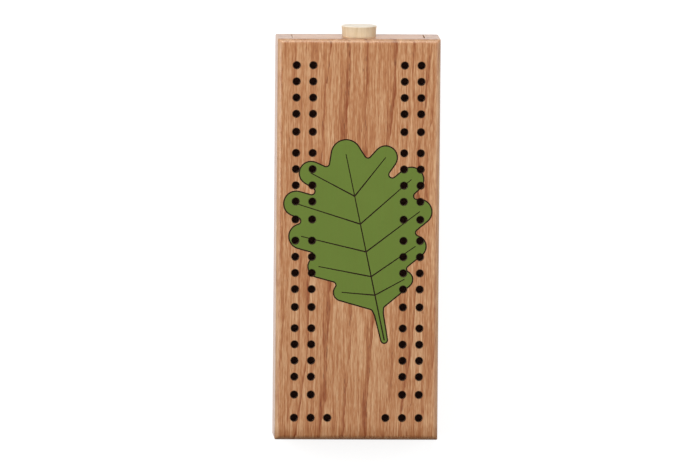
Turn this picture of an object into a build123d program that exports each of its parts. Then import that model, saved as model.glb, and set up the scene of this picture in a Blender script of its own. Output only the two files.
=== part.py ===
from build123d import *

import os
from math import acos, asin, atan2, cos, degrees, hypot, sin

# A wooden cribbage box: a playing board with peg holes on top, and a drawer for cards and pegs
# that slides out of one end. Millimetres. +Z is up, the drawer comes out towards -Y, left is -X
# as seen from the drawer end, and the origin lies on the table under the middle of the whole
# object, knob included.

# ---- Case ----
case_length = 254.0
case_width = 102.9
case_height = 35.0
top_thickness = 9.0
rail_thickness = 9.5
bottom_thickness = 5.0
end_block_thickness = 12.7
rim_radius = 3.2          # rounded edge all round the playing face
corner_ease = 0.8         # sanded upright corners
base_ease = 0.6           # sanded lower outer edges
rabbet_width = 6.0        # ledge in the rails that the bottom board is let into
rabbet_end_depth = 6.35   # the same ledge in the end block
bottom_fit = 0.1          # play around the bottom board

# ---- Peg holes ----
hole_diameter = 4.8
hole_depth = 7.0
hole_groups = 4
holes_per_group = 5
hole_pitch = 10.25        # from hole to hole in a group
fifth_hole_step = 11.35   # the last hole of each group stands a little apart
group_period = 55.5       # from the first hole of a group to the first of the next
first_row_setback = 16.6  # from the drawer end to the first row
last_row_setback = 14.1   # from the far end to the finishing row
outer_column_x = 39.35
column_pitch = 10.5

# ---- Painted leaf, engraved into the board ----
leaf_field_depth = 0.25
paint_thickness = 0.2
burn_depth = 0.4
outline_width = 0.85
vein_width = 0.9
vein_end_width = 0.6
leaf_setback = 119.0      # from the drawer end to the middle of the leaf's midrib
leaf_side_shift = -2.0
leaf_turn = 192.0         # degrees from +Y to the way the leaf points
blade_length = 112.0
stem_length = 17.0
stem_root_radius = 2.4
stem_end_radius = 1.7
tip_lobe_radius = 9.0
heart_place = 14.0        # where the blade's body starts along the midrib
heart_radius = 6.0
belly_place = 66.0        # where the body is widest
belly_radius = 22.0
sinus_radius = 2.6        # rounding of the bays between lobes
# each pair of lobes: where its vein leaves the midrib, where its round end is centred
# along and beside the midrib, and the end's radius
lobe_pairs = [
    (12.0, 18.0, 20.0, 5.0),
    (24.0, 37.0, 31.0, 6.5),
    (40.0, 58.0, 38.0, 7.5),
    (58.0, 79.0, 37.0, 7.5),
    (76.0, 96.0, 24.0, 7.0),
]
lobe_root_radius = 9.0

# ---- Bottom screws ----
screw_head_diameter = 5.4
screw_shank_diameter = 2.8
screw_length = 12.7
screw_sink = 0.2          # how far the head lies below the underside
screw_hole_play = 0.2     # radial play in the bottom board
screw_slot_width = 0.8
screw_slot_depth = 0.7
screw_tip_length = 3.0
screw_end_setback = 30.0
screws_per_rail = 3
end_screw_spacing = 50.0

# ---- Rubber feet ----
foot_diameter = 10.0
foot_height = 1.6
foot_edge_radius = 0.5
foot_inset_x = 17.0
foot_inset_y = 18.0

# ---- Drawer ----
side_gap = 0.4            # between the drawer and each rail
floor_gap = 0.1           # between the drawer and the bottom board it slides on
head_gap = 0.5            # between the drawer and the board above it
rear_gap = 0.6            # between the drawer back and the end block
front_thickness = 9.5
front_lip = 4.5           # what stands in front of the rabbets for the drawer sides
side_thickness = 5.0
side_drop = 2.2           # the sides are this much lower than the front and back
back_thickness = 6.35
panel_thickness = 3.0
panel_let_in = 2.5        # how far the plywood bottom reaches into the pieces around it
front_edge_ease = 0.5

card_well_length = 92.0
divider_thickness = 5.0
divider_let_in = 1.5
divider_drop = 1.0        # below the top of the drawer sides
notch_radius = 11.0

# ---- Drawer stops ----
stop_setback = 34.35      # from the drawer end to the face that catches the drawer back
stop_length = 14.0
stop_width = 4.6
stop_height = 1.8

# ---- Magnets ----
magnet_diameter = 8.0
magnet_thickness = 3.0
magnet_gap = 0.2

# ---- Brads ----
brad_diameter = 1.2
brad_length = 14.0
brad_low = 6.5            # heights above the drawer's lower edge
brad_high = 13.5

# ---- Knob ----
knob_diameter = 22.2
knob_foot_diameter = 21.4
knob_projection = 7.0
knob_waist = 0.15         # how far the side wall curves in
knob_rim_radius = 0.4
knob_side_shift = -0.65   # the knob sits a little beside the drawer's middle
tenon_diameter = 9.5
tenon_length = 8.0

# ---- Pegs ----
peg_length = 34.0
peg_head_radius = 3.0
peg_neck_radius = 1.35
peg_collar_radius = 2.55
peg_collar_place = 8.5    # from the top of the head
peg_collar_thickness = 1.4
peg_shank_radius = 2.25
peg_tip_radius = 1.9
peg_tip_ease = 0.5
peg_rest_gap = 0.05
peg_side_room = 23.5      # from the well's side to the middle of a lying peg
first_peg_setback = 9.0   # from the divider to the first of them
peg_spacing = 11.5
peg_drift = 4.0           # how far a loose peg may lie off its row
# each loose peg: its drift off the row, in multiples of the above, and its turn in degrees
brass_peg_scatter = [(0.2, 6.0), (1.2, -9.0), (-0.8, 14.0)]
steel_peg_scatter = [(-0.4, 171.0), (0.9, 184.0), (-1.0, 166.0)]

# ---- Levels and edges that follow ----
front_y = (knob_projection - case_length) / 2
back_y = front_y + case_length
case_half = case_width / 2
cavity_half = case_half - rail_thickness
base_z = foot_height
floor_z = base_z + bottom_thickness
top_z = base_z + case_height
lid_z = top_z - top_thickness
end_block_y = back_y - end_block_thickness
ledge_half = cavity_half + rabbet_width
ledge_end_y = end_block_y + rabbet_end_depth

drawer_half = cavity_half - side_gap
inner_half = drawer_half - side_thickness
drawer_low = floor_z + floor_gap
drawer_high = lid_z - head_gap
side_high = drawer_high - side_drop
drawer_rear_y = end_block_y - rear_gap
drawer_back_y = drawer_rear_y - back_thickness
front_inner_y = front_y + front_thickness
panel_top = drawer_low + panel_thickness
divider_y = front_inner_y + card_well_length
divider_high = side_high - divider_drop
catch_z = (drawer_low + drawer_high) / 2
stop_rear_y = front_y + stop_setback
drawer_travel = drawer_back_y - stop_rear_y
cut_margin = 5.0          # how far cutters reach past a face


def block(x0, x1, y0, y1, z0, z1):
    """A box between two corners."""
    middle = Pos((x0 + x1) / 2, (y0 + y1) / 2, (z0 + z1) / 2)
    return middle * Box(abs(x1 - x0), abs(y1 - y0), abs(z1 - z0))


def upright(radius, x, y, z0, z1):
    """A cylinder along Z."""
    return Pos(x, y, (z0 + z1) / 2) * Cylinder(radius, z1 - z0)


def named(shape, label):
    """Write one piece, or a group of equal pieces, as its own STEP file."""
    shape.label = label
    export_step(shape, os.path.join("parts", label + ".step"))


def group(solids):
    """Several separate solids under one name."""
    return Compound(children=[s.solid() for s in solids])


# ---- Peg holes ----


def hole_rows():
    """Distances of the hole rows from the drawer end, without the finishing row."""
    rows = []
    for g in range(hole_groups):
        start = first_row_setback + g * group_period
        for k in range(holes_per_group):
            step = k * hole_pitch
            if k == holes_per_group - 1:
                step += fifth_hole_step - hole_pitch
            rows.append(start + step)
    return rows


def hole_places():
    """Centres of all peg holes: two double columns, and three a side in the finishing row."""
    places = []
    for side in (-1, 1):
        for row in hole_rows():
            for column in range(2):
                x = side * (outer_column_x - column * column_pitch)
                places.append((x, front_y + row))
        for column in range(3):
            x = side * (outer_column_x - column * column_pitch)
            places.append((x, back_y - last_row_setback))
    return places


def hole_cutters(depth):
    """One cutter for each peg hole, from above the board down to a depth."""
    return [
        upright(hole_diameter / 2, x, y, top_z - depth, top_z + cut_margin)
        for x, y in hole_places()
    ]


# ---- The leaf ----


def tapered_lobe(start, start_radius, end, end_radius):
    """A flat shape between two circles, joined by their outer tangents."""
    dx = end[0] - start[0]
    dy = end[1] - start[1]
    run = hypot(dx, dy)
    heading = atan2(dy, dx)
    spread = acos((start_radius - end_radius) / run)

    def on_circle(centre, radius, angle):
        return (centre[0] + radius * cos(angle), centre[1] + radius * sin(angle))

    web = Polygon(
        on_circle(start, start_radius, heading + spread),
        on_circle(start, start_radius, heading - spread),
        on_circle(end, end_radius, heading - spread),
        on_circle(end, end_radius, heading + spread),
        align=None,
    )
    caps = Pos(*start) * Circle(start_radius) + Pos(*end) * Circle(end_radius)
    return web + caps


def leaf_blade():
    """The lobed outline with its stem, drawn along +Y from the foot of the blade."""
    foot = (0, 0)
    heart = (0, heart_place)
    belly = (0, belly_place)
    tip = (0, blade_length - tip_lobe_radius)
    blade = tapered_lobe(heart, heart_radius, belly, belly_radius)
    blade += tapered_lobe(belly, belly_radius, tip, tip_lobe_radius)
    blade += tapered_lobe(foot, stem_root_radius, (0, -stem_length), stem_end_radius)
    blade += tapered_lobe(foot, stem_root_radius, heart, heart_radius)
    for root, along, beside, radius in lobe_pairs:
        for side in (-1, 1):
            start = (0, root)
            end = (side * beside, along)
            blade += tapered_lobe(start, lobe_root_radius, end, radius)
    closed = offset(blade, sinus_radius, kind=Kind.ARC)
    return offset(closed, -sinus_radius, kind=Kind.ARC)


def leaf_veins():
    """Narrow lines along the midrib and out into each lobe."""
    root_radius = vein_width / 2
    end_radius = vein_end_width / 2
    tip = (0, blade_length - tip_lobe_radius)
    veins = tapered_lobe((0, -stem_length), root_radius, tip, end_radius)
    for root, along, beside, _ in lobe_pairs:
        for side in (-1, 1):
            veins += tapered_lobe((0, root), root_radius, (side * beside, along), end_radius)
    return veins


def placed_on_board(sketch):
    """Lay a leaf sketch on the playing face."""
    middle = Pos(leaf_side_shift, front_y + leaf_setback, top_z)
    return middle * Rot(0, 0, leaf_turn) * Pos(0, -blade_length / 2, 0) * sketch


flat_blade = leaf_blade()
blade = placed_on_board(flat_blade)
veins = placed_on_board(leaf_veins())
outline = placed_on_board(offset(flat_blade, outline_width, kind=Kind.ARC)) - blade


def down_from_face(sketch, depth):
    """Turn a sketch on the playing face into a solid that goes down into the board."""
    return extrude(sketch, amount=depth, dir=(0, 0, -1))


# ---- Case pieces ----


def top_board():
    board = block(-case_half, case_half, front_y, back_y, lid_z, top_z)
    board = fillet(board.edges().filter_by(Axis.Z), corner_ease)
    board = fillet(board.faces().sort_by(Axis.Z)[-1].edges(), rim_radius)
    board -= down_from_face(blade, leaf_field_depth)
    board -= down_from_face(outline, burn_depth)
    board -= down_from_face(veins, burn_depth)
    return board - hole_cutters(hole_depth)


def leaf_paint():
    """The coat of paint, a little below the wood around it."""
    coat = down_from_face(blade - veins, paint_thickness)
    coat = Pos(0, 0, paint_thickness - leaf_field_depth) * coat
    return coat - hole_cutters(hole_depth)


def bottom_space(play):
    """The room for the bottom board, or the board itself, play smaller at each side."""
    half = ledge_half - play
    return block(-half, half, front_y, ledge_end_y - play, base_z, floor_z)


def screw_places():
    """Screws along both rails, and a pair into the end block."""
    rail_x = cavity_half + rabbet_width / 2
    start = front_y + screw_end_setback
    run = ledge_end_y - screw_end_setback - start
    places = []
    for side in (-1, 1):
        for k in range(screws_per_rail):
            places.append((side * rail_x, start + run * k / (screws_per_rail - 1)))
        places.append((side * end_screw_spacing / 2, (end_block_y + ledge_end_y) / 2))
    return places


def screw(x, y):
    """A slotted countersunk screw, head down."""
    head = screw_head_diameter / 2
    shank = screw_shank_diameter / 2
    cone = head - shank
    low = base_z + screw_sink
    high = low + screw_length
    profile = Polyline(
        (0, low),
        (head, low),
        (shank, low + cone),
        (shank, high - screw_tip_length),
        (0, high),
        (0, low),
    )
    body = revolve(Plane.XZ * make_face(profile), Axis.Z)
    slot = block(-head, head, -screw_slot_width / 2, screw_slot_width / 2, 0, low + screw_slot_depth)
    return Pos(x, y, 0) * (body - slot)


def screw_bore(x, y):
    """The pilot hole that a screw fills, above the bottom board."""
    low = base_z + screw_sink
    high = low + screw_length
    shank = screw_shank_diameter / 2
    profile = Polyline((0, 0), (shank, 0), (shank, high - screw_tip_length), (0, high), (0, 0))
    return Pos(x, y, 0) * revolve(Plane.XZ * make_face(profile), Axis.Z)


def screw_clearance(x, y):
    """The countersunk hole in the bottom board."""
    head = screw_head_diameter / 2 + screw_hole_play
    shank = screw_shank_diameter / 2 + screw_hole_play
    low = base_z + screw_sink
    profile = Polyline(
        (0, 0),
        (head, 0),
        (head, low),
        (shank, low + head - shank),
        (shank, floor_z + cut_margin),
        (0, floor_z + cut_margin),
        (0, 0),
    )
    return Pos(x, y, 0) * revolve(Plane.XZ * make_face(profile), Axis.Z)


def rail(side):
    """One side rail, with the ledge for the bottom board and the screws' pilot holes."""
    body = block(side * cavity_half, side * case_half, front_y, back_y, base_z, lid_z)
    outer = body.faces().sort_by(Axis.X)[-1 if side > 0 else 0]
    body = fillet(outer.edges().filter_by(Axis.Z), corner_ease)
    low = body.faces().sort_by(Axis.Z)[0].edges()
    outer_low = low.filter_by(Axis.Y).sort_by(Axis.X)[-1 if side > 0 else 0]
    body = chamfer(outer_low, base_ease)
    body -= bottom_space(0)
    return body - [screw_bore(x, y) for x, y in screw_places()]


def end_block():
    body = block(-cavity_half, cavity_half, end_block_y, back_y, base_z, lid_z)
    low = body.faces().sort_by(Axis.Z)[0].edges().filter_by(Axis.X)
    body = chamfer(low.sort_by(Axis.Y)[-1], base_ease)
    body -= bottom_space(0)
    body -= [screw_bore(x, y) for x, y in screw_places()]
    return body - magnet(end_block_y + magnet_gap - rear_gap)


def bottom_board():
    return bottom_space(bottom_fit) - [screw_clearance(x, y) for x, y in screw_places()]


def magnet(y):
    """A disc magnet on the catch's axis, whose face towards the drawer end is at y."""
    disc = Cylinder(magnet_diameter / 2, magnet_thickness)
    return Pos(0, y + magnet_thickness / 2, catch_z) * Rot(90, 0, 0) * disc


def drawer_stop(side):
    """A small block in the corner between rail and board, which the drawer back runs against."""
    return block(
        side * (cavity_half - stop_width),
        side * cavity_half,
        stop_rear_y - stop_length,
        stop_rear_y,
        lid_z - stop_height,
        lid_z,
    )


def rubber_foot(x, y):
    disc = upright(foot_diameter / 2, x, y, 0, foot_height)
    return fillet(disc.edges().sort_by(Axis.Z)[0], foot_edge_radius)


def foot_places():
    x = case_half - foot_inset_x
    return [
        (side * x, y)
        for side in (-1, 1)
        for y in (front_y + foot_inset_y, back_y - foot_inset_y)
    ]


# ---- Drawer pieces ----


def side_space(side):
    """A drawer side, before the bottom and the divider are let into it."""
    return block(
        side * inner_half,
        side * drawer_half,
        front_y + front_lip,
        drawer_back_y,
        drawer_low,
        side_high,
    )


def panel_space():
    """The plywood bottom, which reaches into all four pieces around it."""
    half = inner_half + panel_let_in
    return block(
        -half,
        half,
        front_inner_y - panel_let_in,
        drawer_back_y + panel_let_in,
        drawer_low,
        panel_top,
    )


def divider_space():
    half = inner_half + divider_let_in
    return block(-half, half, divider_y, divider_y + divider_thickness, panel_top, divider_high)


def brads():
    """Brads through the sides into the front, and through the back into the sides."""
    across = Cylinder(brad_diameter / 2, brad_length)
    pins = []
    for side in (-1, 1):
        for height in (brad_low, brad_high):
            z = drawer_low + height
            x = side * (drawer_half - brad_length / 2)
            y = front_y + (front_lip + front_thickness) / 2
            pins.append(Pos(x, y, z) * Rot(0, 90, 0) * across)
            x = side * (drawer_half + inner_half) / 2
            pins.append(Pos(x, drawer_rear_y - brad_length / 2, z) * Rot(90, 0, 0) * across)
    return pins


def drawer_front():
    body = block(-drawer_half, drawer_half, front_y, front_inner_y, drawer_low, drawer_high)
    body = chamfer(body.faces().sort_by(Axis.Y)[0].edges(), front_edge_ease)
    body -= [side_space(-1), side_space(1), panel_space()]
    body -= knob_tenon()
    return body - brads()


def drawer_side(side):
    return side_space(side) - [panel_space(), divider_space()] - brads()


def drawer_back():
    body = block(-drawer_half, drawer_half, drawer_back_y, drawer_rear_y, drawer_low, drawer_high)
    body -= panel_space()
    body -= magnet(drawer_rear_y - magnet_thickness)
    return body - brads()


def drawer_divider():
    """The divider, with a half-round finger notch for lifting the cards."""
    middle = Pos(0, divider_y + divider_thickness / 2, divider_high)
    notch = middle * Rot(90, 0, 0) * Cylinder(notch_radius, divider_thickness + 2 * cut_margin)
    return divider_space() - notch


def knob_tenon():
    place = Pos(knob_side_shift, front_y + tenon_length / 2, catch_z)
    return place * Rot(90, 0, 0) * Cylinder(tenon_diameter / 2, tenon_length)


def knob():
    """The turned knob: flat face, eased rim, a side that curves in towards a narrower foot."""
    face = knob_diameter / 2
    foot = knob_foot_diameter / 2
    rim_height = knob_projection - knob_rim_radius
    waist = ((face + foot) / 2 - knob_waist, rim_height / 2)
    outline = Line((0, 0), (foot, 0))
    outline += ThreePointArc((foot, 0), waist, (face, rim_height))
    outline += RadiusArc((face, rim_height), (face - knob_rim_radius, knob_projection), -knob_rim_radius)
    outline += Line((face - knob_rim_radius, knob_projection), (0, knob_projection))
    outline += Line((0, knob_projection), (0, 0))
    turned = revolve(Plane.XZ * make_face(outline), Axis.Z)
    return Pos(knob_side_shift, front_y, catch_z) * Rot(90, 0, 0) * turned + knob_tenon()


def peg():
    """A turned peg along +X: ball head, neck, collar, and a shank that tapers to the tip."""
    collar_end = peg_collar_place + peg_collar_thickness
    shank = Polyline(
        (peg_head_radius, 0),
        (peg_head_radius, peg_neck_radius),
        (peg_collar_place, peg_neck_radius),
        (peg_collar_place, peg_collar_radius),
        (collar_end, peg_collar_radius),
        (collar_end, peg_shank_radius),
        (peg_length - peg_tip_ease, peg_tip_radius),
        (peg_length, peg_tip_radius - peg_tip_ease),
        (peg_length, 0),
        (peg_head_radius, 0),
    )
    body = revolve(make_face(shank), Axis.X)
    return body + Pos(peg_head_radius, 0, 0) * Sphere(peg_head_radius)


def lying_peg(side, place_in_row, drift, turn):
    """A peg at rest on the drawer's floor, on its head and its tip, near one side of the well."""
    run = peg_length - peg_tip_ease - peg_head_radius
    tilt = asin(peg_head_radius / hypot(run, peg_tip_radius)) - atan2(peg_tip_radius, run)
    centred = Pos(-peg_length / 2, 0, 0) * peg()
    head_rise = peg_head_radius - (peg_length / 2 - peg_head_radius) * sin(tilt)
    x = side * (inner_half - peg_side_room - drift * peg_drift)
    y = divider_y + divider_thickness + first_peg_setback + place_in_row * peg_spacing
    place = Pos(x, y, panel_top + peg_rest_gap + head_rise)
    return place * Rot(0, 0, turn) * Rot(0, degrees(tilt), 0) * centred


def loose_pegs(side, scatter, first_place):
    """The pegs of one player, one behind the other."""
    return [
        lying_peg(side, first_place + k, drift, turn) for k, (drift, turn) in enumerate(scatter)
    ]


os.makedirs("parts", exist_ok=True)

named(top_board(), "top_board")
named(leaf_paint(), "leaf_paint")
named(rail(-1), "left_rail")
named(rail(1), "right_rail")
named(end_block(), "end_block")
named(bottom_board(), "bottom_board")
named(group([screw(x, y) for x, y in screw_places()]), "bottom_screws")
named(group([drawer_stop(-1), drawer_stop(1)]), "drawer_stops")
named(magnet(end_block_y + magnet_gap - rear_gap), "case_magnet")
named(group([rubber_foot(x, y) for x, y in foot_places()]), "rubber_feet")

named(drawer_front(), "drawer_front")
named(drawer_side(-1), "drawer_side_left")
named(drawer_side(1), "drawer_side_right")
named(drawer_back(), "drawer_back")
named(panel_space(), "drawer_bottom")
named(drawer_divider(), "drawer_divider")
named(group(brads()), "drawer_brads")
named(magnet(drawer_rear_y - magnet_thickness), "drawer_magnet")
named(knob(), "knob")
named(group(loose_pegs(-1, brass_peg_scatter, 0)), "brass_pegs")
named(group(loose_pegs(1, steel_peg_scatter, len(brass_peg_scatter))), "steel_pegs")

print("drawer travel:", round(drawer_travel, 3), "mm")
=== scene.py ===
# %% [markdown]
# # A wooden cribbage box
#
# The box is a small oak case with a playing board on top. Two players move pegs along rows of blind
# holes, a painted leaf fills the middle of the board, and a drawer for the cards and pegs slides out
# of the end with the turned knob. The shapes come ready made as a frame of separate pieces, so this
# lesson is about camera, light and materials: wood whose grain runs through the whole piece, burnt
# cuts, matt paint, brass, steel and rubber.
#
# The frame is loaded first. Every piece lies at the origin with its place in its mesh, in metres,
# and that is why patterns can use Object coordinates throughout and still meet from piece to piece.

# %% Load the frame
from math import cos, hypot, radians, sin, tan

import bmesh
import bpy
from mathutils import Matrix, Vector


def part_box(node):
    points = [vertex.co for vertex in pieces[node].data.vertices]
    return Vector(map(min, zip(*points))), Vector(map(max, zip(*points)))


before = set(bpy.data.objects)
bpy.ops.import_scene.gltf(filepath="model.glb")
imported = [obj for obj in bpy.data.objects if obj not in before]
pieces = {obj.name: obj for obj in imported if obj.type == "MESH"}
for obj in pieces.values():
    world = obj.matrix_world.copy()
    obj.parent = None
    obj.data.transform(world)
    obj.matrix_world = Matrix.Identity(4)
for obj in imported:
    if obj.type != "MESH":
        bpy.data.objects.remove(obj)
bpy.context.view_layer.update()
board_low, board_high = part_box("top_board")
face_middle = Vector((0.0, (board_low.y + board_high.y) / 2, board_high.z))
print("pieces:", len(pieces))
print("board face, mm:", [round(1000 * v, 1) for v in board_high - board_low])

# %% [markdown]
# ## The camera
#
# The box is seen from straight above, but not quite: one long side and the drawer end show as thin
# strips. The board hardly narrows from one end to the other, so the camera is far away with a long
# lens, where perspective hardly shows. A true orthographic camera could do that too. A very long lens
# from 12 m was chosen because it still behaves like a camera, with a very slight taper.
#
# The camera is placed by its lean in two directions, and then aimed so that the middle of the board
# lands a little right of and below the picture's middle. The picture's top is the drawer end.

# %% Place the camera
picture_width_px = 700
sensor_width = 36.0
camera_distance = 12.0
lean_to_drawer_end = radians(5.8)
lean_to_side = radians(2.7)
roll = radians(0.47)
mm_per_px = 0.6302
face_right_of_middle_px = 7.75
face_below_middle_px = 6.35

toward_camera = Vector((tan(lean_to_side), -tan(lean_to_drawer_end), 1.0)).normalized()
straight_up = Vector((sin(roll), -cos(roll), 0.0))
picture_up = (straight_up - toward_camera * straight_up.dot(toward_camera)).normalized()
picture_right = picture_up.cross(toward_camera)
aim = face_middle - picture_right * face_right_of_middle_px * mm_per_px / 1000
aim += picture_up * face_below_middle_px * mm_per_px / 1000

camera_data = bpy.data.cameras.new("camera")
camera_data.sensor_width = sensor_width
camera_data.lens = sensor_width * camera_distance * 1000 / (picture_width_px * mm_per_px)
camera_data.clip_end = 50.0
camera = bpy.data.objects.new("camera", camera_data)
axes = Matrix((picture_right, picture_up, toward_camera)).transposed().to_4x4()
camera.matrix_world = Matrix.Translation(aim + toward_camera * camera_distance) @ axes
bpy.context.scene.collection.objects.link(camera)
bpy.context.scene.camera = camera
print("lens, mm:", round(camera_data.lens, 1))

# %% [markdown]
# ## Floor, surroundings and lamps
#
# The box lies on white paper in soft light. White paper that is only lit would come out light grey,
# and brighter lamps would bleach the wood. So the paper is painted a plain grey, and gives off most of
# its white by itself, but only to rays that come from the camera or from a mirror-like reflection.
# Near the box its own light is a little weaker and the lamps do the rest, so the box still has a soft
# shadow. Further out, where the lamps no longer reach, its own light does it all.
#
# The surroundings work in the same way: they light the box at a low level, and look white to the
# camera. Three large soft lamps stand beyond the drawer end and on both long sides. They make the
# rounded rim bright on those three sides. Nothing stands at the far end, so the rim goes brown there.

# %% A helper for shader nodes
def put(tree, kind, wires=None, **settings):
    """Adds a node, sets its options, and fills its sockets with values or with other sockets."""
    made = tree.nodes.new(kind)
    for name, value in settings.items():
        setattr(made, name, value)
    for name, value in (wires or {}).items():
        if isinstance(value, bpy.types.NodeSocket):
            tree.links.new(value, made.inputs[name])
        else:
            made.inputs[name].default_value = value
    return made


def calc(tree, operation, *values, clamp=False):
    """One step of arithmetic on numbers or sockets."""
    wires = dict(enumerate(values))
    return put(tree, "ShaderNodeMath", wires, operation=operation, use_clamp=clamp).outputs[0]


def paint(red, green, blue):
    """A colour given in picture values from 0 to 255, turned into the linear values of a socket."""
    def linear(value):
        share = value / 255
        return share / 12.92 if share <= 0.04045 else ((share + 0.055) / 1.055) ** 2.4

    return (linear(red), linear(green), linear(blue), 1.0)


print("a middle grey of a picture, as a socket's value:", round(paint(128, 128, 128)[0], 3))

# %% What a ray is for
def seen_directly(tree):
    """1 for what the camera or a mirror-like reflection looks at, 0 for what only gives light."""
    path = put(tree, "ShaderNodeLightPath").outputs
    seen = calc(tree, "MAXIMUM", path["Is Camera Ray"], path["Is Glossy Ray"])
    return calc(tree, "MAXIMUM", seen, path["Is Transmission Ray"])


# %% The paper floor
floor_half_size = 6.0
paper_white = 0.35
near_box = 0.3            # metres from the middle, where the paper's own light is weakest
paper_own_light = 0.84
beyond_lamps = 1.5        # metres, where it reaches its full strength
far_own_light = 1.0

floor_mesh = bmesh.new()
bmesh.ops.create_grid(floor_mesh, x_segments=1, y_segments=1, size=floor_half_size)
floor_data = bpy.data.meshes.new("paper_floor")
floor_mesh.to_mesh(floor_data)
floor_mesh.free()
floor = bpy.data.objects.new("paper_floor", floor_data)
bpy.context.scene.collection.objects.link(floor)

paper = bpy.data.materials.new("white paper")
paper.use_nodes = True
paper_shader = paper.node_tree.nodes["Principled BSDF"].inputs
paper_shader["Base Color"].default_value = (paper_white, paper_white, paper_white, 1.0)
paper_shader["Roughness"].default_value = 1.0
paper_shader["Specular IOR Level"].default_value = 0.0
paper_shader["Emission Color"].default_value = (1.0, 1.0, 1.0, 1.0)
flat = paper.node_tree
spot = put(flat, "ShaderNodeTexCoord").outputs["Object"]
distance = put(flat, "ShaderNodeVectorMath", {0: spot}, operation="LENGTH").outputs["Value"]
outward = put(flat, "ShaderNodeMapRange", {"Value": distance})
outward.inputs["From Min"].default_value = near_box
outward.inputs["From Max"].default_value = beyond_lamps
outward.inputs["To Min"].default_value = paper_own_light
outward.inputs["To Max"].default_value = far_own_light
own_light = calc(flat, "MULTIPLY", seen_directly(flat), outward.outputs[0])
flat.links.new(own_light, paper_shader["Emission Strength"])
floor_data.materials.append(paper)
print("paper floor, m:", 2 * floor_half_size, "wide, white at", paper_white)

# %% The surroundings
surroundings_light = 0.12

world = bpy.data.worlds.new("soft surroundings")
bpy.context.scene.world = world
world.use_nodes = True
sky = world.node_tree
level = calc(sky, "MULTIPLY_ADD", seen_directly(sky), 1.0 - surroundings_light, surroundings_light)
sky.links.new(level, sky.nodes["Background"].inputs["Strength"])
sky.nodes["Background"].inputs["Color"].default_value = (1.0, 1.0, 1.0, 1.0)
print("surroundings light the box at", surroundings_light)

# %% The lamps
def soft_lamp(name, place, size, watts):
    """A square lamp, so many metres wide, that points at the middle of the board."""
    data = bpy.data.lights.new(name, "AREA")
    data.size = size
    data.energy = watts
    lamp = bpy.data.objects.new(name, data)
    lamp.location = place
    lamp.rotation_euler = (face_middle - Vector(place)).to_track_quat("-Z", "Y").to_euler()
    bpy.context.scene.collection.objects.link(lamp)


soft_lamp("lamp at the drawer end", (0.1, -1.5, 0.9), 1.0, 16.5)
soft_lamp("lamp on the left", (1.25, -0.3, 1.15), 1.1, 16.5)
soft_lamp("lamp on the right", (-1.25, -0.3, 1.15), 1.1, 9.5)
bpy.context.scene.view_settings.view_transform = "Standard"
print("lamps, W:", {light.name: light.energy for light in bpy.data.lights})

# %% [markdown]
# ## Wood that was cut from a log
#
# Oak gets its look from three things: growth rings, fibres and pores. A flat picture of grain would
# stretch over the rounded rim and would not match between the face and the end of the board. Here
# the pattern is worked out in the solid instead. Each point has a distance from the pith, the line
# in the middle of the log, and that distance says in which ring the point lies. Faces that run along
# the log then show lines, and sawn ends show arcs, without further work.
#
# Real rings are not equally wide. A colour ramp holds them: its red channel rises from 0 to 1 across
# each ring, and its green channel says how strongly that ring is marked. In oak a ring starts
# abruptly with a dark porous band and fades slowly, which gives every line one sharp edge.
#
# Fibres are noise stretched far along the grain, at four widths. Pores are small cells stretched
# along the grain, and they are larger where a ring starts. All of this is one node group with named
# inputs, so that each piece of wood can have its own colours, rings and place in the log.

# %% A helper for node groups
def new_group(title, inputs, outputs):
    """An empty node group with its sockets. Returns the tree, what comes in and what goes out."""
    tree = bpy.data.node_groups.new(title, "ShaderNodeTree")
    for name, start in inputs.items():
        kinds = {3: "NodeSocketVector", 4: "NodeSocketColor"}
        size = len(start) if isinstance(start, tuple) else 1
        kind = kinds.get(size, "NodeSocketFloat")
        tree.interface.new_socket(name=name, in_out="INPUT", socket_type=kind).default_value = start
    for name in outputs:
        kind = "NodeSocketColor" if name == "Color" else "NodeSocketFloat"
        tree.interface.new_socket(name=name, in_out="OUTPUT", socket_type=kind)
    given = tree.nodes.new("NodeGroupInput").outputs
    result = tree.nodes.new("NodeGroupOutput").inputs
    return tree, given, result


def stretched_noise(tree, place, across, along, detail=2.0, seed=0.0):
    """Noise from -1 to 1, with spots so many millimetres across and along the grain. The noise
    itself seldom leaves the range from 0.3 to 0.7, which is spread out here."""
    size = (1 / across, 1 / along, 1 / across)
    small = put(tree, "ShaderNodeVectorMath", {0: place, 1: size}, operation="MULTIPLY").outputs[0]
    moved = put(tree, "ShaderNodeVectorMath", {0: small, 1: (seed, seed, seed)}).outputs[0]
    noise = put(tree, "ShaderNodeTexNoise", {"Vector": moved, "Scale": 1.0, "Detail": detail})
    steps = {"Value": noise.outputs[0], "From Min": 0.3, "From Max": 0.7, "To Min": -1.0}
    return put(tree, "ShaderNodeMapRange", steps, clamp=False).outputs[0]


def fade(tree, value, start, end, soft=True):
    """A value that goes from 0 at start to 1 at end and stays there."""
    kind = "SMOOTHSTEP" if soft else "LINEAR"
    wires = {"Value": value, "From Min": start, "From Max": end}
    return put(tree, "ShaderNodeMapRange", wires, interpolation_type=kind).outputs[0]


def mix(tree, share, first, second, blend="MIX"):
    """Mixes two colours."""
    made = put(tree, "ShaderNodeMix", data_type="RGBA", blend_type=blend)
    for place, value in ((0, share), (6, first), (7, second)):
        if isinstance(value, bpy.types.NodeSocket):
            tree.links.new(value, made.inputs[place])
        else:
            made.inputs[place].default_value = value
    return made.outputs[2]


print("helpers for patterns: new_group, stretched_noise, fade, mix")

# %% The rings of the log
pith_across = -100.0
pith_below_face = 70.0
grain_lean = 0.07
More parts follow.
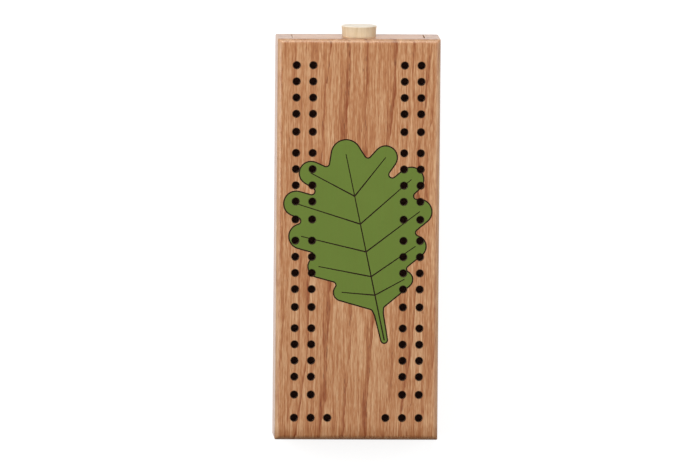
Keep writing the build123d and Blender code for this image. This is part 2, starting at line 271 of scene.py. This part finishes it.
# where rings start on the face at the drawer end, in mm from the middle, and how marked each is
ring_starts = [
    (-52.0, 0.45),
    (-46.5, 0.80),
    (-36.5, 0.35),
    (-24.5, 1.00),
    (-9.0, 0.85),
    (4.5, 1.00),
    (18.0, 0.95),
    (24.5, 0.35),
    (33.0, 0.30),
    (40.0, 0.50),
    (47.0, 0.40),
    (53.0, 0.60),
]


def ring_radius(across):
    """Distance from the pith of a point on the face at the drawer end."""
    return hypot(across - 1000 * grain_lean * board_low.y - pith_across, pith_below_face)


first_ring = ring_radius(ring_starts[0][0])
ring_run = ring_radius(ring_starts[-1][0]) - first_ring
print("rings:", len(ring_starts) - 1, "in", round(ring_run, 1), "mm of the log")


def ring_ramp(tree, share):
    """The ramp with the rings of the log. Returns how far through its ring a point is, and how
    strongly that ring is marked."""
    node = put(tree, "ShaderNodeValToRGB", {"Fac": share})
    stops = node.color_ramp.elements
    sharpness = 0.002
    last = len(ring_starts) - 2
    places = [(ring_radius(start) - first_ring) / ring_run for start, _ in ring_starts]
    for k, (_, marked) in enumerate(ring_starts[:-1]):
        start = stops[0] if k == 0 else stops.new(places[k] + sharpness)
        start.color = (0.0, marked, 0.0, 1.0)
        end = stops[-1] if k == last else stops.new(places[k + 1] - sharpness)
        end.color = (1.0, marked, 0.0, 1.0)
    parts = put(tree, "ShaderNodeSeparateColor", {"Color": node.outputs["Color"]}).outputs
    return parts["Red"], parts["Green"]


# %% The wood group: rings
raggedness = 0.6          # mm that the fine noise moves a ring's edge
dark_band_end = 0.26      # how far through its ring the dark porous band reaches

wood, given, result = new_group(
    "Sawn wood",
    {
        "Place": (0.0, 0.0, 0.0),
        "Pale": paint(223, 180, 137),
        "Middle": paint(181, 122, 77),
        "Deep": paint(136, 66, 20),
        "Pore": paint(100, 50, 16),
        "Rings": 1.0,
        "Fibres": 1.0,
        "Pores": 1.0,
        "Wander": 2.2,
    },
    ["Color", "Height", "Roughness"],
)
across, along, up = put(wood, "ShaderNodeSeparateXYZ", {0: given["Place"]}).outputs

slow = stretched_noise(wood, given["Place"], 34.0, 95.0, detail=1.0)
ragged = stretched_noise(wood, given["Place"], 1.2, 14.0, seed=7.0)
lean_back = calc(wood, "MULTIPLY_ADD", along, -grain_lean, across)
from_pith = calc(wood, "SUBTRACT", lean_back, pith_across)
depth = calc(wood, "ADD", up, pith_below_face)
squares = calc(wood, "ADD", calc(wood, "POWER", from_pith, 2.0), calc(wood, "POWER", depth, 2.0))
radius = calc(wood, "SQRT", squares)
radius = calc(wood, "ADD", radius, calc(wood, "MULTIPLY", slow, given["Wander"]))
radius = calc(wood, "MULTIPLY_ADD", ragged, raggedness, radius)
turns = calc(wood, "DIVIDE", calc(wood, "SUBTRACT", radius, first_ring), ring_run)
through, marked = ring_ramp(wood, calc(wood, "FRACT", turns))

band = calc(wood, "SUBTRACT", 1.0, fade(wood, through, 0.02, dark_band_end))
feather = calc(wood, "POWER", calc(wood, "SUBTRACT", 1.0, through), 2.5)
ring = calc(wood, "MULTIPLY_ADD", band, 0.6, calc(wood, "MULTIPLY", feather, 0.4))
ring = calc(wood, "MULTIPLY", ring, marked)
early = calc(wood, "MULTIPLY", ring, given["Rings"])
print("rings of the wood group:", len(wood.nodes), "nodes so far")

# %% The wood group: fibres and colour
# width and length of each kind of fibre in mm, its strength, and the seed of its noise
fibre_kinds = {
    "wide": (4.5, 110.0, 0.13, 3.0),
    "strand": (1.7, 48.0, 0.15, 23.0),
    "fine": (0.8, 18.0, 0.18, 11.0),
    "hair": (0.55, 5.0, 0.16, 19.0),
}
plain_tone = 0.4          # 0 is pale, 0.5 the middle colour and 1 deep
ring_tone = 0.6

fibres = 0.0
noises = {}
for kind, (width, length, strength, seed) in fibre_kinds.items():
    noises[kind] = stretched_noise(wood, given["Place"], width, length, seed=seed)
    fibres = calc(wood, "MULTIPLY_ADD", noises[kind], strength, fibres)
fibres = calc(wood, "MULTIPLY", fibres, given["Fibres"])

broken = calc(wood, "MULTIPLY_ADD", noises["strand"], 0.3, 0.9)
tone = calc(wood, "MULTIPLY", calc(wood, "MULTIPLY", early, ring_tone), broken)
tone = calc(wood, "ADD", tone, calc(wood, "ADD", fibres, plain_tone))
low_part = calc(wood, "MULTIPLY", tone, 2.0, clamp=True)
high_part = calc(wood, "MULTIPLY_ADD", tone, 2.0, -1.0, clamp=True)
color = mix(wood, low_part, given["Pale"], given["Middle"])
color = mix(wood, high_part, color, given["Deep"])
print("kinds of fibre:", ", ".join(fibre_kinds))

# %% The wood group: pores and surface
pore_width = 0.9
pore_length = 10.0

cell_size = (1 / pore_width, 1 / pore_length, 1 / pore_width)
cells = put(wood, "ShaderNodeVectorMath", {0: given["Place"], 1: cell_size}, operation="MULTIPLY")
pore_cells = put(wood, "ShaderNodeTexVoronoi", {"Vector": cells.outputs[0], "Scale": 1.0})
reach = calc(wood, "MULTIPLY_ADD", early, 0.22, 0.1)
pores = calc(wood, "SUBTRACT", reach, pore_cells.outputs["Distance"])
pores = calc(wood, "MULTIPLY", fade(wood, pores, 0.0, 0.08), given["Pores"])
color = mix(wood, calc(wood, "MULTIPLY", pores, 0.75), color, given["Pore"])

height = calc(wood, "MULTIPLY_ADD", pores, -0.8, 0.8)
height = calc(wood, "MULTIPLY_ADD", noises["hair"], 0.1, height)
height = calc(wood, "MULTIPLY_ADD", early, -0.12, height)
rough = calc(wood, "MULTIPLY_ADD", pores, 0.25, 0.46)
rough = calc(wood, "MULTIPLY_ADD", noises["fine"], 0.04, rough)
for name, value in (("Color", color), ("Height", height), ("Roughness", rough)):
    wood.links.new(value, result[name])
print("wood group:", len(wood.nodes), "nodes")

# %% [markdown]
# ## Edge wear and painted highlight
#
# Hands and sandpaper reach the edges of a piece first, and the rims catch the light, so the edges are
# painted a little paler than the faces: partly wear, partly painted highlight.
# Cycles can find edges by curvature, but only where the mesh is dense, and these pieces have large
# flat faces. Most of them are boxes, though, and near an edge of a box a point is close to two of its
# faces at once. The group measures the distances to the nearest face in x, y and z and takes the
# middle one of the three, which is small only along the edges.

# %% The edge group
edge_wear_and_highlight, given, result = new_group(
    "Rubbed edges",
    {"Place": (0.0, 0.0, 0.0), "Middle": (0.0, 0.0, 0.0), "Half": (1.0, 1.0, 1.0), "Reach": 1.0},
    ["Rub"],
)
offset = put(
    edge_wear_and_highlight, "ShaderNodeVectorMath", {0: given["Place"], 1: given["Middle"]}, operation="SUBTRACT"
)
outward = put(edge_wear_and_highlight, "ShaderNodeVectorMath", {0: offset.outputs[0]}, operation="ABSOLUTE")
inside = put(
    edge_wear_and_highlight, "ShaderNodeVectorMath", {0: given["Half"], 1: outward.outputs[0]}, operation="SUBTRACT"
)
a, b, c = put(edge_wear_and_highlight, "ShaderNodeSeparateXYZ", {0: inside.outputs[0]}).outputs
smaller = calc(edge_wear_and_highlight, "MINIMUM", a, b)
larger = calc(edge_wear_and_highlight, "MAXIMUM", a, b)
second = calc(edge_wear_and_highlight, "MAXIMUM", smaller, calc(edge_wear_and_highlight, "MINIMUM", larger, c))
patchy = put(edge_wear_and_highlight, "ShaderNodeTexNoise", {"Vector": given["Place"], "Scale": 0.12, "Detail": 3.0})
ragged_reach = calc(edge_wear_and_highlight, "MULTIPLY", given["Reach"], patchy.outputs[0])
closeness = calc(edge_wear_and_highlight, "DIVIDE", second, calc(edge_wear_and_highlight, "MULTIPLY", ragged_reach, 2.0))
edge_wear_and_highlight.links.new(calc(edge_wear_and_highlight, "SUBTRACT", 1.0, fade(edge_wear_and_highlight, closeness, 0.2, 1.0)), result["Rub"])
print("edge group:", len(edge_wear_and_highlight.nodes), "nodes")

# %% [markdown]
# ## A material for a piece of wood
#
# The next helper sets up one material per piece. One Mapping node turns metres into millimetres. A
# second one turns the piece so that its grain runs along y, and moves it to its own place in the log,
# so that no two pieces show the same lines. The Principled shader stays in the material, where an
# export can read it. The bump is less than a tenth of a millimetre deep, as on sanded and oiled wood.
#
# Where a piece was sawn across, the open ends of its fibres soak up more oil, and the wood is darker
# there. The direction in which the surface faces says where that is, also on a rounded edge. The oil
# itself is a thin clear coat, which hardly shows from above and shines at a low angle.

# %% A helper for places in millimetres
def in_mm(tree):
    """The place of a point in millimetres."""
    metres = put(tree, "ShaderNodeTexCoord").outputs["Object"]
    wires = {"Vector": metres, "Scale": (1000.0, 1000.0, 1000.0)}
    return put(tree, "ShaderNodeMapping", wires).outputs[0]


print("materials work in millimetres")

# %% Wood material helper
oil_gloss = 0.75
wear_and_highlight_reach = 1.2           # mm from an edge
wear_and_highlight_share = 0.45
end_grain_tint = (0.76, 0.75, 0.75, 1.0)


def wood_material(
    name, node, turn=0.0, shift=(0.0, 0.0, 0.0), oiled=oil_gloss, reach=wear_and_highlight_reach, **values
):
    """A wood material for one piece. Returns the material and the sockets that may be built on."""
    made = bpy.data.materials.new(name)
    made.use_nodes = True
    tree = made.node_tree
    shader = tree.nodes["Principled BSDF"]
    mm = in_mm(tree)
    turned = put(tree, "ShaderNodeMapping", {"Vector": mm, "Location": shift})
    turned.inputs["Rotation"].default_value = (0.0, 0.0, radians(turn))
    grain = put(tree, "ShaderNodeGroup", node_tree=wood)
    tree.links.new(turned.outputs[0], grain.inputs["Place"])
    for key, value in values.items():
        grain.inputs[key].default_value = value
    low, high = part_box(node)
    edges = put(tree, "ShaderNodeGroup", node_tree=edge_wear_and_highlight)
    tree.links.new(mm, edges.inputs["Place"])
    edges.inputs["Middle"].default_value = (low + high) / 2 * 1000
    edges.inputs["Half"].default_value = (high - low) / 2 * 1000
    edges.inputs["Reach"].default_value = reach
    # Paler edges: partly wear, partly a painted highlight on the rims.
    wear_and_highlight = calc(tree, "MULTIPLY", edges.outputs["Rub"], wear_and_highlight_share)
    color = mix(tree, wear_and_highlight, grain.outputs["Color"], grain.inputs["Pale"].default_value)
    normal = put(tree, "ShaderNodeTexCoord").outputs["Normal"]
    facing = put(tree, "ShaderNodeSeparateXYZ", {0: normal}).outputs
    endways = calc(tree, "ABSOLUTE", facing["X" if turn else "Y"])
    soaked = calc(tree, "MULTIPLY", calc(tree, "POWER", endways, 1.3), oiled)
    color = mix(tree, soaked, color, end_grain_tint, blend="MULTIPLY")
    bump = put(tree, "ShaderNodeBump", {"Height": grain.outputs["Height"], "Strength": 0.6})
    bump.inputs["Distance"].default_value = 0.00012
    tree.links.new(color, shader.inputs["Base Color"])
    tree.links.new(bump.outputs[0], shader.inputs["Normal"])
    tree.links.new(grain.outputs["Roughness"], shader.inputs["Roughness"])
    shader.inputs["Specular IOR Level"].default_value = 0.15
    shader.inputs["Coat Roughness"].default_value = 0.3
    shader.inputs["Coat Weight"].default_value = oiled
    return made, tree, shader, {"mm": mm, "color": color, "grain": grain, "bump": bump}


def give(node, material):
    """Puts a material on a ready made piece."""
    for slot in pieces[node].material_slots:
        slot.material = material


print("oil on the wood: gloss", oil_gloss, "and pale edges", wear_and_highlight_reach, "mm wide")

# %% [markdown]
# ## Scorched rims
#
# The heat that cut the peg holes also scorched a thin ring around each of them. A ring needs the
# distance to the nearest hole, and the holes repeat: five rows make a group, the group repeats four
# times, and left and right are alike. So the place is folded together first, with an absolute value
# across the board and a wrap along it, and a few minima then stand for all 86 holes.

# %% The rim group
hole_radius = 2.4
columns = [39.35, 28.85]  # mm beside the middle line
finishing_columns = columns + [18.35]
groups = 4
group_period = 55.5
lead = 5.0                # the pattern starts this far before the first row of a group
far_away = 100.0          # pushes a distance out of reach where there are no holes
rows_in_group = [0.0, 10.25, 20.5, 30.75, 42.1]
first_setback = 16.6      # mm from the drawer end
finishing_setback = 14.1  # mm from the far end
first_row = 1000 * board_low.y + first_setback
finishing_row = 1000 * board_high.y - finishing_setback


def nearest(tree, value, places):
    """How far a value is from the nearest of several places."""
    steps = [calc(tree, "ABSOLUTE", calc(tree, "SUBTRACT", value, place)) for place in places]
    closest = steps[0]
    for step in steps[1:]:
        closest = calc(tree, "MINIMUM", closest, step)
    return closest


def length_of(tree, a, b):
    """The length of the diagonal over two sides."""
    squares = calc(tree, "ADD", calc(tree, "MULTIPLY", a, a), calc(tree, "MULTIPLY", b, b))
    return calc(tree, "SQRT", squares)


rims, given, result = new_group(
    "Scorched rims", {"Place": (0.0, 0.0, 0.0), "Reach": 0.5}, ["Scorch"]
)
x, y, _ = put(rims, "ShaderNodeSeparateXYZ", {0: given["Place"]}).outputs
aside = calc(rims, "ABSOLUTE", x)
run = calc(rims, "SUBTRACT", y, first_row)
folded = calc(rims, "WRAP", run, -lead, group_period - lead)
to_track = length_of(rims, nearest(rims, aside, columns), nearest(rims, folded, rows_in_group))
before_track = calc(rims, "LESS_THAN", run, -lead)
past_track = calc(rims, "GREATER_THAN", run, groups * group_period - lead)
off_track = calc(rims, "ADD", before_track, past_track)
to_track = calc(rims, "MULTIPLY_ADD", off_track, far_away, to_track)
to_row = nearest(rims, y, [finishing_row])
to_finish = length_of(rims, nearest(rims, aside, finishing_columns), to_row)
from_hole = calc(rims, "MINIMUM", to_track, to_finish)
flicker = put(rims, "ShaderNodeTexNoise", {"Vector": given["Place"], "Scale": 1.2, "Detail": 2.0})
from_hole = calc(rims, "MULTIPLY_ADD", flicker.outputs[0], 0.12, from_hole)
edge = calc(rims, "ADD", given["Reach"], hole_radius)
ring = calc(rims, "SUBTRACT", 1.0, fade(rims, from_hole, hole_radius, edge, soft=False))
rims.links.new(ring, result["Scorch"])
track_holes = groups * len(rows_in_group) * len(columns)
print("holes in the pattern:", 2 * (track_holes + len(finishing_columns)))

# %% [markdown]
# ## The playing board
#
# The board is a single oak plank. Its face is oiled, not varnished. The peg holes, the outline of the
# leaf and its veins were cut with heat, so their walls are charred nearly black. There is no need to
# paint a picture of them: everything inside the board's border that lies below its face was cut, so
# four comparisons of the point's place give the mask. The last centimetre at the far end is painted
# darker, as painted shade on the end that no lamp lights, and there it also loses its gloss.

# %% Oak for the board
board_wear_and_highlight_reach = 2.8     # the whole rounded rim: wear and painted highlight
board_shift = (0.0, 0.0, -1000 * board_high.z)

board_oak, tree, shader, parts = wood_material(
    "oiled oak board", "top_board", shift=board_shift, reach=board_wear_and_highlight_reach
)
x, y, z = put(tree, "ShaderNodeSeparateXYZ", {0: parts["mm"]}).outputs
print("board in the log, mm:", [round(v, 1) for v in board_shift])

# %% What was cut with heat
border = 4.2              # mm along the board's edges in which nothing was cut
face_skin = 0.02          # mm below the face where a cut starts
back_skin = 0.5           # mm above the back where it ends

half_length = 500 * (board_high.y - board_low.y) - border
half_width = 500 * (board_high.x - board_low.x) - border
from_middle = calc(tree, "ABSOLUTE", calc(tree, "SUBTRACT", y, 1000 * face_middle.y))
within_y = calc(tree, "LESS_THAN", from_middle, half_length)
within_x = calc(tree, "LESS_THAN", calc(tree, "ABSOLUTE", x), half_width)
under_face = calc(tree, "LESS_THAN", z, 1000 * board_high.z - face_skin)
over_back = calc(tree, "GREATER_THAN", z, 1000 * board_low.z + back_skin)
cut = calc(tree, "MULTIPLY", within_x, within_y)
cut = calc(tree, "MULTIPLY", cut, calc(tree, "MULTIPLY", under_face, over_back))
scorched = put(tree, "ShaderNodeGroup", {"Place": parts["mm"]}, node_tree=rims).outputs["Scorch"]
cut = calc(tree, "MAXIMUM", cut, scorched)
print("border without cuts, mm:", border)

# %% [markdown]
# The char is nearly black at the top of a hole. Deeper down the colour turns a paler brown, which
# keeps the bottom of a hole from going as black as its mouth.

# %% The colour of the char
char_start = 0.8          # mm below the face where the char starts to get paler
char_end = 4.0

soot = put(tree, "ShaderNodeTexNoise", {"Vector": parts["mm"], "Scale": 1.5, "Detail": 3.0})
char = mix(tree, soot.outputs[0], paint(28, 19, 12), paint(60, 42, 30))
below_face = calc(tree, "SUBTRACT", 1000 * board_high.z, z)
far_down = fade(tree, below_face, char_start, char_end)
char = mix(tree, calc(tree, "MULTIPLY", far_down, 0.8), char, paint(150, 116, 104))
print("char gets paler from", char_start, "to", char_end, "mm deep")

# %% Painted shade at the far end
# Painted shade: the last centimetre at the far end is darkened, since no lamp lights that end.
far_shade_length = 10.0
far_shade_tint = (0.66, 0.56, 0.49, 1.0)

from_far_end = calc(tree, "SUBTRACT", 1000 * board_high.y, y)
uneven = stretched_noise(tree, parts["mm"], 2.5, 12.0, seed=41.0)
from_far_end = calc(tree, "ADD", uneven, from_far_end)
far_shade = fade(tree, from_far_end, far_shade_length, 0.0, soft=False)
far_shaded_color = mix(tree, far_shade, parts["color"], far_shade_tint, blend="MULTIPLY")
print("painted shade at the far end, mm:", far_shade_length)

# %% The board's shader
burnt_color = mix(tree, cut, far_shaded_color, char)
tree.links.new(burnt_color, shader.inputs["Base Color"])
burnt_rough = calc(tree, "MULTIPLY_ADD", cut, 0.4, parts["grain"].outputs["Roughness"])
tree.links.new(burnt_rough, shader.inputs["Roughness"])
# The char and the painted shade at the far end both take the oil's gloss away.
dull = calc(tree, "MAXIMUM", cut, far_shade)
gloss = calc(tree, "MULTIPLY_ADD", dull, -oil_gloss, oil_gloss)
tree.links.new(gloss, shader.inputs["Coat Weight"])
give("top_board", board_oak)
print("board material:", len(tree.nodes), "nodes")

# %% [markdown]
# ## The case
#
# Rails, end block and bottom come from the same kind of oak. The rails run along the box, the end
# block and the drawer front run across it, which is a quarter turn of the same pattern.

# %% Oak for the case
case_woods = {
    "left_rail": (0.0, (31.0, 60.0, -12.0)),
    "right_rail": (0.0, (-63.0, -140.0, -20.0)),
    "end_block": (90.0, (40.0, 15.0, -8.0)),
    "bottom_board": (0.0, (11.0, 300.0, -48.0)),
    "drawer_front": (90.0, (-70.0, 220.0, -22.0)),
}
for node, (turn, shift) in case_woods.items():
    give(node, wood_material("oak " + node.replace("_", " "), node, turn, shift)[0])
print("oak pieces:", ", ".join(case_woods))

# %% [markdown]
# ## The drawer
#
# Sides, back and divider are maple, which is pale and quiet: the same group with weak rings, weak
# fibres and faint pores. The two stop blocks in the case are maple too. The bottom is birch plywood.
# Its faces are one sheet of veneer, and its edges show three layers. The middle one runs crosswise, so
# its end grain shows as a darker line.

# %% Maple
maple = dict(
    Pale=paint(236, 214, 180),
    Middle=paint(227, 201, 163),
    Deep=paint(205, 170, 128),
    Pore=paint(180, 146, 108),
    Rings=0.45,
    Fibres=0.6,
    Pores=0.25,
    oiled=0.0,
)
maple_pieces = {
    "drawer_side_left": (0.0, (20.0, 40.0, -5.0)),
    "drawer_side_right": (0.0, (-35.0, 170.0, -30.0)),
    "drawer_back": (90.0, (60.0, 10.0, -14.0)),
    "drawer_divider": (90.0, (10.0, 95.0, -40.0)),
    "drawer_stops": (0.0, (5.0, 77.0, -60.0)),
}
for node, (turn, shift) in maple_pieces.items():
    give(node, wood_material("maple " + node.replace("_", " "), node, turn, shift, **maple)[0])
print("maple pieces:", ", ".join(maple_pieces))

# %% Birch plywood
ply_colors = dict(
    Pale=paint(233, 210, 172),
    Middle=paint(224, 196, 154),
    Deep=paint(203, 168, 122),
    Pore=paint(182, 146, 104),
    Rings=0.55,
    Fibres=0.8,
    Pores=0.3,
    Wander=9.0,
    oiled=0.0,
)
plywood, tree, shader, parts = wood_material(
    "birch plywood", "drawer_bottom", 0.0, (14.0, 500.0, -90.0), **ply_colors
)
ply_low, ply_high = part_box("drawer_bottom")
ply_thickness = 1000 * (ply_high.z - ply_low.z)
layers = 3
z = put(tree, "ShaderNodeSeparateXYZ", {0: parts["mm"]}).outputs["Z"]
from_core = calc(tree, "ABSOLUTE", calc(tree, "SUBTRACT", z, 500 * (ply_low.z + ply_high.z)))
core = calc(tree, "LESS_THAN", from_core, ply_thickness / layers / 2)
layered = mix(tree, calc(tree, "MULTIPLY", core, 0.55), parts["color"], paint(176, 134, 88))
tree.links.new(layered, shader.inputs["Base Color"])
give("drawer_bottom", plywood)
print("plywood thickness, mm:", round(ply_thickness, 2))

# %% [markdown]
# ## The knob
#
# The knob was turned from a pale dowel and left nearly bare. Its grain runs along its own axis, so
# its face shows end grain. A lathe leaves very fine circles. A wave of the distance from the axis and
# of the way along it draws them into the bump. The face is painted paler than the side: a painted
# highlight on the face that looks towards the lamp at the drawer end.

# %% Pale turned wood
knob_wood, tree, shader, parts = wood_material(
    "pale turned wood",
    "knob",
    0.0,
    (8.0, 0.0, -70.0),
    oiled=0.0,
    Pale=paint(233, 216, 187),
    Middle=paint(224, 203, 170),
    Deep=paint(209, 185, 148),
    Pore=paint(192, 165, 128),
    Rings=0.8,
    Fibres=0.7,
    Pores=0.3,
)
knob_low, knob_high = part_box("knob")
x, y, z = put(tree, "ShaderNodeSeparateXYZ", {0: parts["mm"]}).outputs
z = calc(tree, "SUBTRACT", z, 500 * (knob_low.z + knob_high.z))
circle_pace = 9.0         # radians of the wave for each millimetre of the cut
from_axis = length_of(tree, x, z)
along_cut = calc(tree, "MULTIPLY", calc(tree, "ADD", from_axis, y), circle_pace)
circles = calc(tree, "SINE", along_cut)
turned_height = calc(tree, "MULTIPLY_ADD", circles, 0.06, parts["grain"].outputs["Height"])
tree.links.new(turned_height, parts["bump"].inputs["Height"])
# Painted highlight: the face is paler than the side.
face_y = 1000 * knob_low.y
on_face = fade(tree, y, face_y + 0.9, face_y + 0.1)
knob_face_painted_highlight = mix(tree, calc(tree, "MULTIPLY", on_face, 0.65), parts["color"], paint(252, 246, 234))
tree.links.new(knob_face_painted_highlight, shader.inputs["Base Color"])
give("knob", knob_wood)
print("knob, mm:", [round(1000 * v, 1) for v in knob_high - knob_low])

# %% [markdown]
# ## The painted leaf
#
# The leaf was filled with matt green paint after its outline was cut. It lies a hair below the wood.
# The coat is thin, so the fibres of the oak still show through it in the surface. The same wood group
# gives that relief, at the same place as in the board around it. The faint streaks in the colour are
# a noise of their own.

# %% Matt green paint
leaf_green = bpy.data.materials.new("matt green paint")
leaf_green.use_nodes = True
tree = leaf_green.node_tree
shader = tree.nodes["Principled BSDF"]
mm = in_mm(tree)
in_log = put(tree, "ShaderNodeMapping", {"Vector": mm, "Location": board_shift}).outputs[0]
under = put(tree, "ShaderNodeGroup", {"Place": in_log}, node_tree=wood)
clouds = put(tree, "ShaderNodeTexNoise", {"Vector": mm, "Scale": 0.05, "Detail": 4.0})
streaks = stretched_noise(tree, mm, 1.6, 40.0, seed=31.0)
coat = mix(tree, clouds.outputs[0], paint(99, 121, 46), paint(107, 129, 52))
streak_share = fade(tree, streaks, -1.5, 1.5)
coat = mix(tree, calc(tree, "MULTIPLY", streak_share, 0.3), coat, paint(104, 117, 47))
scorched = put(tree, "ShaderNodeGroup", {"Place": mm}, node_tree=rims).outputs["Scorch"]
coat = mix(tree, scorched, coat, paint(34, 24, 14))
tree.links.new(coat, shader.inputs["Base Color"])
roller = put(tree, "ShaderNodeTexNoise", {"Vector": mm, "Scale": 2.4, "Detail": 3.0}).outputs[0]
relief = calc(tree, "MULTIPLY_ADD", roller, 0.25, calc(tree, "MULTIPLY", under.outputs["Height"], 0.6))
bump = put(tree, "ShaderNodeBump", {"Height": relief, "Strength": 0.5, "Distance": 0.0001})
tree.links.new(bump.outputs[0], shader.inputs["Normal"])
shader.inputs["Roughness"].default_value = 0.72
shader.inputs["Specular IOR Level"].default_value = 0.25
give("leaf_paint", leaf_green)
leaf_low, leaf_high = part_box("leaf_paint")
print("leaf, mm:", [round(1000 * v, 1) for v in leaf_high - leaf_low])

# %% [markdown]
# ## Metal that is handled
#
# Pegs, screws, brads and magnets are small, and plain polished metal would look like plastic with a
# shine. Handled metal is uneven: dull patches where fingers leave a film, and fine scratches. One
# group gives both, as a colour, a roughness and a height for the bump. Each metal brings its own clean
# and its own dull colour.

# %% The metal group
handled, given, result = new_group(
    "Handled metal",
    {
        "Place": (0.0, 0.0, 0.0),
        "Clean": (0.8, 0.8, 0.8, 1.0),
        "Dull": (0.5, 0.5, 0.5, 1.0),
        "Smooth": 0.2,
        "Worn": 0.45,
    },
    ["Color", "Height", "Roughness"],
)
patches = put(handled, "ShaderNodeTexNoise", {"Vector": given["Place"], "Scale": 0.35, "Detail": 4.0})
film = fade(handled, patches.outputs[0], 0.35, 0.7)
scratch = stretched_noise(handled, given["Place"], 0.12, 2.5, seed=5.0)
handled.links.new(mix(handled, film, given["Clean"], given["Dull"]), result["Color"])
span = calc(handled, "SUBTRACT", given["Worn"], given["Smooth"])
base = calc(handled, "MULTIPLY_ADD", film, span, given["Smooth"])
handled.links.new(calc(handled, "MULTIPLY_ADD", scratch, 0.03, base), result["Roughness"])
handled.links.new(calc(handled, "MULTIPLY_ADD", scratch, 0.5, 0.5), result["Height"])
print("metal group:", len(handled.nodes), "nodes")

# %% A helper for metals
def metal_material(name, clean, dull, smooth, worn):
    """A metal with its own colours, dull patches and scratches."""
    made = bpy.data.materials.new(name)
    made.use_nodes = True
    tree = made.node_tree
    shader = tree.nodes["Principled BSDF"]
    skin = put(tree, "ShaderNodeGroup", {"Place": in_mm(tree)}, node_tree=handled)
    for key, value in (("Clean", clean), ("Dull", dull), ("Smooth", smooth), ("Worn", worn)):
        skin.inputs[key].default_value = value
    bump = put(tree, "ShaderNodeBump", {"Height": skin.outputs["Height"], "Strength": 0.15})
    bump.inputs["Distance"].default_value = 0.00002
    shader.inputs["Metallic"].default_value = 1.0
    tree.links.new(skin.outputs["Color"], shader.inputs["Base Color"])
    tree.links.new(skin.outputs["Roughness"], shader.inputs["Roughness"])
    tree.links.new(bump.outputs[0], shader.inputs["Normal"])
    return made


# %% Brass, steel and nickel
brass = metal_material("handled brass", paint(226, 190, 112), paint(178, 138, 72), 0.16, 0.4)
steel = metal_material("bright steel", paint(208, 210, 213), paint(160, 162, 166), 0.16, 0.38)
nickel = metal_material("nickel plating", paint(214, 210, 202), paint(176, 170, 160), 0.12, 0.3)
for node in ("brass_pegs", "bottom_screws"):
    give(node, brass)
for node in ("steel_pegs", "drawer_brads"):
    give(node, steel)
for node in ("case_magnet", "drawer_magnet"):
    give(node, nickel)
print("metals:", brass.name, steel.name, nickel.name, sep=", ")

# %% [markdown]
# ## Rubber feet
#
# The feet are moulded discs. Rubber is not black but a very dark grey, with a fine even texture and
# some dust on it.

# %% Rubber
rubber = bpy.data.materials.new("black rubber")
rubber.use_nodes = True
tree = rubber.node_tree
shader = tree.nodes["Principled BSDF"]
mm = in_mm(tree)
dust = put(tree, "ShaderNodeTexNoise", {"Vector": mm, "Scale": 0.5, "Detail": 5.0}).outputs[0]
grainy = put(tree, "ShaderNodeTexNoise", {"Vector": mm, "Scale": 6.0, "Detail": 2.0}).outputs[0]
tree.links.new(
    mix(tree, fade(tree, dust, 0.4, 0.8), paint(34, 33, 33), paint(62, 60, 58)),
    shader.inputs["Base Color"],
)
bump = put(tree, "ShaderNodeBump", {"Height": grainy, "Strength": 0.4, "Distance": 0.00005})
tree.links.new(bump.outputs[0], shader.inputs["Normal"])
shader.inputs["Roughness"].default_value = 0.7
give("rubber_feet", rubber)
feet_low, feet_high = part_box("rubber_feet")
print("feet, outer size in mm:", [round(1000 * v, 1) for v in feet_high - feet_low])
